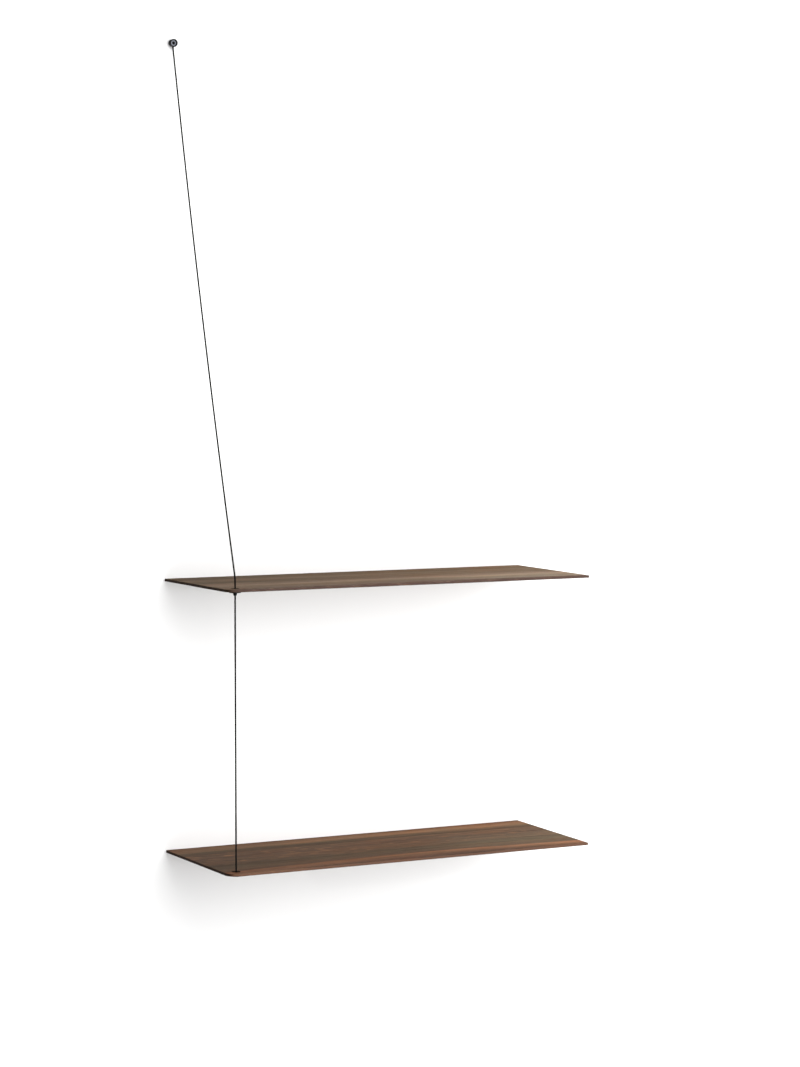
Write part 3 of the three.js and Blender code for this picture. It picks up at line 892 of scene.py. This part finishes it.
BUTTON_PLACE = Vector((centre("button_cup").x, 0, centre("button_cup").z))
CUP = {"radius": 5.9, "bore": 4.9, "floor": -4.2, "screw_hole": 2.2}
POCKET = {"radius": 1.8, "back": -1.1, "below": 3.8}  # where the wire's ball sits, below the middle
SLOT_WIDTH = 2.9
BUTTON_SCREW = {"face": -5.9, "head": 4.6, "head_back": -4.5, "shank": 1.9, "tip": 40, "socket": 4}


def cup_mesh():
    """The turned cup, with the pocket for the wire's ball and the slot that the wire leaves through."""
    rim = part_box("button_cup")[0].y / MM
    radius, bore, floor, hole = CUP["radius"], CUP["bore"], CUP["floor"], CUP["screw_hole"]
    profile = [
        (bore, rim + 0.5), (bore + 0.05, rim + 0.25), (bore + 0.2, rim + 0.05), (bore + 0.4, rim),
        (radius - 0.45, rim), (radius - 0.2, rim + 0.1), (radius - 0.05, rim + 0.3), (radius, rim + 0.6),
        (radius, -0.4), (radius - 0.1, -0.1), (radius - 0.3, 0), (hole, 0), (hole, floor), (bore, floor),
    ]
    ball_room, back, below = POCKET["radius"], POCKET["back"], POCKET["below"]
    pocket = lathe([(0, floor - 1), (ball_room, floor - 1), (ball_room, back), (0, back)], 32)
    half = SLOT_WIDTH / 2
    slot = block(-half, half, below, below + radius, rim - 1, back)
    return cut(lathe(profile, 96), moved(pocket, y=below), slot)


def wood_screw_tip(radius, start, tip):
    """The profile of a wood screw's point, which ends on the axis."""
    end = tip - start
    points = [(radius - (radius - 0.3) * (z - start) / end, z) for z in rows(start + 0.3, tip - 0.3, 0.3)]
    return points + [(0, tip)]


def button_screw_mesh():
    """The grey screw that closes the cup: a domed rim, a hexagon socket and a wood thread."""
    face, head, back = BUTTON_SCREW["face"], BUTTON_SCREW["head"], BUTTON_SCREW["head_back"]
    shank, tip = BUTTON_SCREW["shank"], BUTTON_SCREW["tip"]
    taper_start = tip - 6
    thread = groove(1.8, 0.75, 8, tip, 3)
    profile = [
        (0, face), (head - 0.7, face), (head - 0.4, face + 0.05), (head - 0.15, face + 0.2),
        (head, face + 0.5), (head, back - 0.1), (head - 0.1, back), (shank, back),
    ]
    profile += [(shank, z) for z in rows(back + 0.3, taper_start, 0.3)]
    profile += wood_screw_tip(shank, taper_start, tip)
    socket = prism(hexagon(BUTTON_SCREW["socket"]), face - 1.1, back - 0.2)
    return cut(lathe(profile, 48, thread), socket)


piece("button_cup_turned", cup_mesh(), "black_y", ["button_cup"], BUTTON_PLACE, ALONG_Y)
piece("button_screw_threaded", button_screw_mesh(), "screw", ["button_screw"], BUTTON_PLACE, ALONG_Y)


# ---------------- wall rails, their screws, and the lock screws

RAIL_SCREW_X = (-190, -80, 80, 190)
RAIL_SIZE = {"length": 420, "height": 13, "thickness": 3, "soft": 0.4}
RAIL_SCREW_SIZE = {"head": 3.7, "shank": 1.9, "tip": 42}


def rail_mesh():
    """A flat bar with softened edges and countersunk holes, made about Y with its back at 0."""
    half, side = RAIL_SIZE["length"] / 2, RAIL_SIZE["height"] / 2
    bar = block(-half, half, -side, side, -RAIL_SIZE["thickness"], 0)
    work = bmesh.new()
    work.from_mesh(bar)
    bmesh.ops.bevel(
        work, geom=work.edges, offset=RAIL_SIZE["soft"], segments=3, profile=0.5, affect="EDGES",
    )
    work.to_mesh(bar)
    work.free()
    countersunk = [(0, -4), (4, -4), (4, -2.7), (2.2, -0.9), (2.2, 1), (0, 1)]
    holes = [moved(lathe(countersunk, 40), x) for x in RAIL_SCREW_X]
    return cut(bar, *holes)


def rail_screw_mesh():
    """A countersunk wood screw with a cross recess."""
    head, shank, tip = RAIL_SCREW_SIZE["head"], RAIL_SCREW_SIZE["shank"], RAIL_SCREW_SIZE["tip"]
    taper_start = tip - 6
    thread = groove(1.7, 0.75, 6, tip, 3)
    profile = [(0, -3), (head - 0.1, -3), (head, -2.9), (head, -2.7), (shank, -0.9)]
    profile += [(shank, z) for z in rows(-0.6, taper_start, 0.3)]
    profile += wood_screw_tip(shank, taper_start, tip)
    arms = [block(-2, 2, -0.45, 0.45, -4, -1.6), block(-0.45, 0.45, -2, 2, -4, -1.6)]
    return cut(lathe(profile, 40, thread), *arms)


INSERT_SIZE = {"radius": 3.2, "bore": 2.3, "low": -7.9, "high": -4.6, "pitch": 1.0}
LOCK_SCREW_SIZE = {"radius": 2.0, "low": -7.7, "high": -4.3, "pitch": 0.7, "socket": 2}


def insert_mesh():
    """A brass insert: slotted below for a driver, and threaded outside."""
    radius, bore = INSERT_SIZE["radius"], INSERT_SIZE["bore"]
    low, high = INSERT_SIZE["low"], INSERT_SIZE["high"]
    soft = 0.2
    thread = groove(INSERT_SIZE["pitch"], 0.35, low + 0.3, high, 0.3)
    profile = [(bore, low + soft), (bore + soft, low), (radius - soft, low), (radius, low + soft)]
    profile += [(radius, z) for z in rows(low + 2 * soft, high - soft, 0.12)]
    profile += [(radius - soft, high), (bore, high)]
    turned = lathe(profile, 56, lambda z, turn: 0 if z in (low, high) else thread(z, turn))
    slot = block(-4, 4, -0.4, 0.4, low - 1, low + 0.7)
    return cut(turned, slot)


def lock_screw_mesh():
    """A headless screw with a hexagon socket below and a flat cone point above."""
    radius = LOCK_SCREW_SIZE["radius"]
    low, high = LOCK_SCREW_SIZE["low"], LOCK_SCREW_SIZE["high"]
    thread = groove(LOCK_SCREW_SIZE["pitch"], 0.3, low + 0.2, high - 0.5, 0.3)
    profile = [(0, low), (radius - 0.25, low), (radius, low + 0.25)]
    profile += [(radius, z) for z in rows(low + 0.35, high - 0.6, 0.1)]
    profile += [(radius, high - 0.5), (radius - 0.6, high), (0, high)]
    socket = prism(hexagon(LOCK_SCREW_SIZE["socket"]), low - 1, low + 1.6)
    return cut(lathe(profile, 48, thread), socket)


RAIL = rail_mesh()
RAIL_SCREW = rail_screw_mesh()
INSERT = insert_mesh()
LOCK_SCREW = lock_screw_mesh()
for level in LEVELS:
    z = LEVEL_Z[level]
    piece(f"{level}_rail_bar", RAIL, "zinc", [f"{level}_rail"], (0, 0, z), ALONG_Y)
    for number, x in enumerate(RAIL_SCREW_X, 1):
        name = f"{level}_rail_screw_{number}"
        piece(f"{name}_threaded", RAIL_SCREW, "zinc", [name], (x * MM, 0, z), ALONG_Y)
    for side, x in zip(("left", "right"), LOCK_X):
        place = Vector((x * MM, LOCK_Y * MM, z))
        insert = f"{level}_lock_insert_{side}"
        screw = f"{level}_lock_screw_{side}"
        piece(f"{insert}_threaded", INSERT, "brass", [insert], place)
        piece(f"{screw}_threaded", LOCK_SCREW, "black_z", [screw], place)
    for side in ("left", "middle", "right"):
        rod = frame["nodes"][f"{level}_rod_{side}"]
        rod.data.materials.clear()
        rod.data.materials.append(FINISH["zinc"][0])


# ---------------- stage, light and camera

FLOOR_Z = -1.5


def plane(name, corners):
    """One flat face of the stage."""
    work = bmesh.new()
    work.faces.new([work.verts.new(c) for c in corners])
    mesh = bpy.data.meshes.new(name)
    work.to_mesh(mesh)
    work.free()
    made = bpy.data.objects.new(name, mesh)
    bpy.context.scene.collection.objects.link(made)
    made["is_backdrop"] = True
    return made


def stage_paint(name, colour, roughness, gloss, glow):
    """Plain paint that is seen from the room, and seen through from behind the wall or below the floor."""
    g = Graph(name)
    g.finish((*colour, 1), roughness, Specular_IOR_Level=gloss, Emission_Strength=glow)
    clear = g.node("ShaderNodeBsdfTransparent")
    behind = g.node("ShaderNodeNewGeometry").outputs["Backfacing"]
    mixed = g.node("ShaderNodeMixShader", {0: behind, 1: g.shader.outputs[0], 2: clear.outputs[0]})
    output = g.tree.nodes["Material Output"]
    g.put(output.inputs[0], mixed.outputs[0])
    return g.material


def make_stage():
    """A white wall just behind the rails, and a pale floor in front of it and behind it."""
    wide, high, deep, back = 5.0, 4.0, 8.0, 0.0006
    wall = plane("wall", [
        (-wide, back, FLOOR_Z), (wide, back, FLOOR_Z), (wide, back, high), (-wide, back, high),
    ])
    wall.data.materials.append(stage_paint("white_wall", (0.80, 0.80, 0.80), 0.9, 0.0, 0.0))
    floor = plane("floor", [
        (-wide, -deep, FLOOR_Z), (wide, -deep, FLOOR_Z), (wide, deep, FLOOR_Z), (-wide, deep, FLOOR_Z),
    ])
    floor.data.materials.append(stage_paint("pale_floor", (0.72, 0.72, 0.71), 0.8, 0.2, 0.6))
    floor.visible_diffuse = False


def area_light(name, azimuth, elevation, distance, width, height, power, target):
    """A soft rectangle that faces the target, at an azimuth to the right of the way out from the wall."""
    a, e = math.radians(azimuth), math.radians(elevation)
    away = Vector((math.sin(a) * math.cos(e), -math.cos(a) * math.cos(e), math.sin(e)))
    data = bpy.data.lights.new(name, "AREA")
    data.shape = "RECTANGLE"
    data.size = width
    data.size_y = height
    data.energy = power
    made = bpy.data.objects.new(name, data)
    bpy.context.scene.collection.objects.link(made)
    made.location = Vector(target) + away * distance
    made.rotation_mode = "QUATERNION"
    made.rotation_quaternion = (-away).to_track_quat("-Z", "Y")
    made.visible_camera = False
    return made


def light_from_behind():
    """A weak light behind the wall that only reaches the object, so that its back can be seen."""
    light = area_light(
        "back_light", azimuth=180, elevation=0, distance=3.0, width=1.5, height=1.5, power=30,
        target=(0, 0, -0.2),
    )
    reached = bpy.data.collections.new("reached_from_behind")
    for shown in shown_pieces():
        reached.objects.link(shown)
    light.light_linking.receiver_collection = reached
    light.light_linking.blocker_collection = reached


def make_world():
    """White to the eye, and nearly dark as a light."""
    world = bpy.data.worlds.new("studio")
    bpy.context.scene.world = world
    world.use_nodes = True
    tree = world.node_tree
    background = tree.nodes["Background"]
    background.inputs["Color"].default_value = (1, 1, 1, 1)
    seen = tree.nodes.new("ShaderNodeLightPath").outputs["Is Camera Ray"]
    strength = tree.nodes.new("ShaderNodeMapRange")
    tree.links.new(seen, strength.inputs["Value"])
    strength.inputs["To Min"].default_value = 0.03
    strength.inputs["To Max"].default_value = 1.0
    tree.links.new(strength.outputs["Result"], background.inputs["Strength"])


def make_camera():
    """The photo's view: from the left and a little above, solved from the boards' edges."""
    camera_data = bpy.data.cameras.new("camera")
    camera_data.sensor_width = 36
    camera_data.lens = 95.87
    camera_data.clip_end = 40
    camera = bpy.data.objects.new("camera", camera_data)
    bpy.context.scene.collection.objects.link(camera)
    yaw, pitch = math.radians(26.791), math.radians(3.696)
    camera.location = (-1.8811, -3.9047, 0.3463)
    camera.rotation_euler = (math.radians(90) - pitch, 0, -yaw)
    bpy.context.scene.camera = camera


def light_from_the_room():
    """A soft panel a little to the right, so large that the boards' shadows stay faint."""
    area_light(
        "key_light", azimuth=23, elevation=7, distance=2.05, width=4.0, height=5.2, power=256,
        target=(0, -0.1, -0.05),
    )


make_camera()
make_stage()
make_world()
light_from_the_room()
light_from_behind()
bpy.context.scene.view_settings.view_transform = "Standard"
